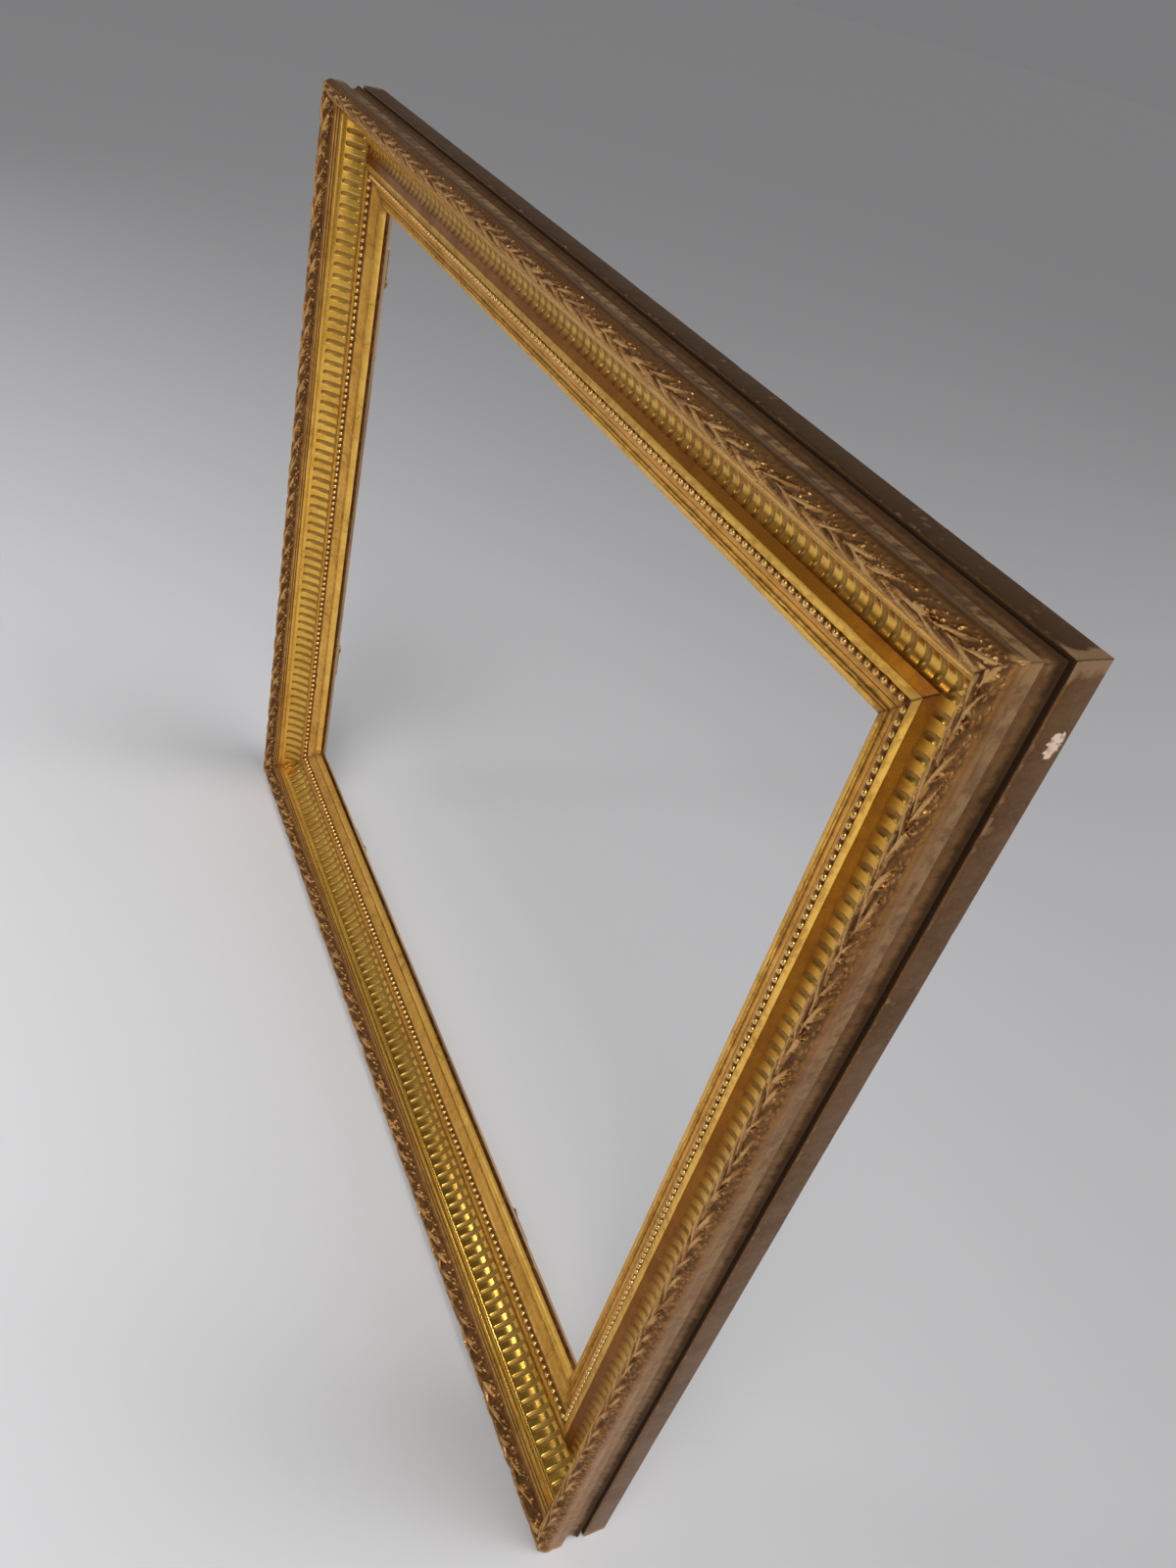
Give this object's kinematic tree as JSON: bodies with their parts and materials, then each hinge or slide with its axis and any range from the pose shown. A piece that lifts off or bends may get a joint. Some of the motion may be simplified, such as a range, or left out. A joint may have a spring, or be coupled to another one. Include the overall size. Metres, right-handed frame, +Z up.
{
  "type": "picture frame",
  "caption": "Ornate gilded picture frame: mitred moulding with sight lip, pearl row, fluted cove, reeds and running leaf edge, with turn buttons and hanging rings on the back.",
  "frame": {"origin": "middle of the top rail's back face, on mount back_face", "axes": "+Z up as hung, +X along the top side to the right as seen from the front, +Y back to the wall, so the gilded front looks along -Y"},
  "size_m": [0.5952, 0.0416, 0.4922],
  "materials": {
    "aged_rail": "bronze-brown wash on the outer band, bare aged pine behind",
    "burnished_gilt": "burnished gold leaf on gesso, worn",
    "matte_gilt": "matte gold leaf on gesso, fine cracks",
    "bead_gilt": "copper-gold leaf on composition beads",
    "bronzed_gilt": "bronzed gold on composition leaves, rubbed bright on the high points",
    "key_wood": "oiled hardwood",
    "nail_steel": "dull steel",
    "hanger_brass": "aged brass",
    "button_brass": "aged brass",
    "screw_brass": "aged brass"
  },
  "bodies": {
    "frame": {"top_back_rail": "aged_rail", "top_moulding": "burnished_gilt", "top_sight_slip": "matte_gilt", "top_bead_strip": "bead_gilt", "top_cove_strip": "burnished_gilt", "top_leaf_strip": "bronzed_gilt", "bottom_back_rail": "aged_rail", "bottom_moulding": "burnished_gilt", "bottom_sight_slip": "matte_gilt", "bottom_bead_strip": "bead_gilt", "bottom_cove_strip": "burnished_gilt", "bottom_leaf_strip": "bronzed_gilt", "left_back_rail": "aged_rail", "left_moulding": "burnished_gilt", "left_sight_slip": "matte_gilt", "left_bead_strip": "bead_gilt", "left_cove_strip": "burnished_gilt", "left_leaf_strip": "bronzed_gilt", "right_back_rail": "aged_rail", "right_moulding": "burnished_gilt", "right_sight_slip": "matte_gilt", "right_bead_strip": "bead_gilt", "right_cove_strip": "burnished_gilt", "right_leaf_strip": "bronzed_gilt", "top_left_corner_key": "key_wood", "top_right_corner_key": "key_wood", "bottom_right_corner_key": "key_wood", "bottom_left_corner_key": "key_wood", "corner_nails": "nail_steel", "left_hanger_strap": "hanger_brass", "right_hanger_strap": "hanger_brass", "hanger_screws": "screw_brass", "turn_button_screws": "screw_brass"},
    "left_hanger_ring": {"left_hanger_ring": "hanger_brass"},
    "right_hanger_ring": {"right_hanger_ring": "hanger_brass"},
    "upper_left_turn_button": {"upper_left_turn_button": "button_brass"},
    "upper_right_turn_button": {"upper_right_turn_button": "button_brass"},
    "lower_right_turn_button": {"lower_right_turn_button": "button_brass"},
    "lower_left_turn_button": {"lower_left_turn_button": "button_brass"},
    "bottom_right_turn_button": {"bottom_right_turn_button": "button_brass"},
    "bottom_left_turn_button": {"bottom_left_turn_button": "button_brass"}
  },
  "joints": [
    {"name": "left_ring_swing", "type": "hinge", "parent": "frame", "child": "left_hanger_ring", "pos_m": [-0.2749, 0.0028, -0.1219], "axis": [1, 0, 0], "range_deg": [0, 180]},
    {"name": "right_ring_swing", "type": "hinge", "parent": "frame", "child": "right_hanger_ring", "pos_m": [0.2749, 0.0028, -0.1219], "axis": [1, 0, 0], "range_deg": [0, 180]},
    {"name": "upper_left_button_turn", "type": "hinge", "parent": "frame", "child": "upper_left_turn_button", "pos_m": [-0.2605, 0.001, -0.0734], "axis": [0, 1, 0], "continuous": true},
    {"name": "upper_right_button_turn", "type": "hinge", "parent": "frame", "child": "upper_right_turn_button", "pos_m": [0.2605, 0.001, -0.0734], "axis": [0, 1, 0], "continuous": true},
    {"name": "lower_right_button_turn", "type": "hinge", "parent": "frame", "child": "lower_right_turn_button", "pos_m": [0.2605, 0.001, -0.3334], "axis": [0, 1, 0], "continuous": true},
    {"name": "lower_left_button_turn", "type": "hinge", "parent": "frame", "child": "lower_left_turn_button", "pos_m": [-0.2605, 0.001, -0.3334], "axis": [0, 1, 0], "continuous": true},
    {"name": "bottom_right_button_turn", "type": "hinge", "parent": "frame", "child": "bottom_right_turn_button", "pos_m": [0.15, 0.001, -0.4324], "axis": [0, 1, 0], "continuous": true},
    {"name": "bottom_left_button_turn", "type": "hinge", "parent": "frame", "child": "bottom_left_turn_button", "pos_m": [-0.15, 0.001, -0.4324], "axis": [0, 1, 0], "continuous": true}
  ]
}
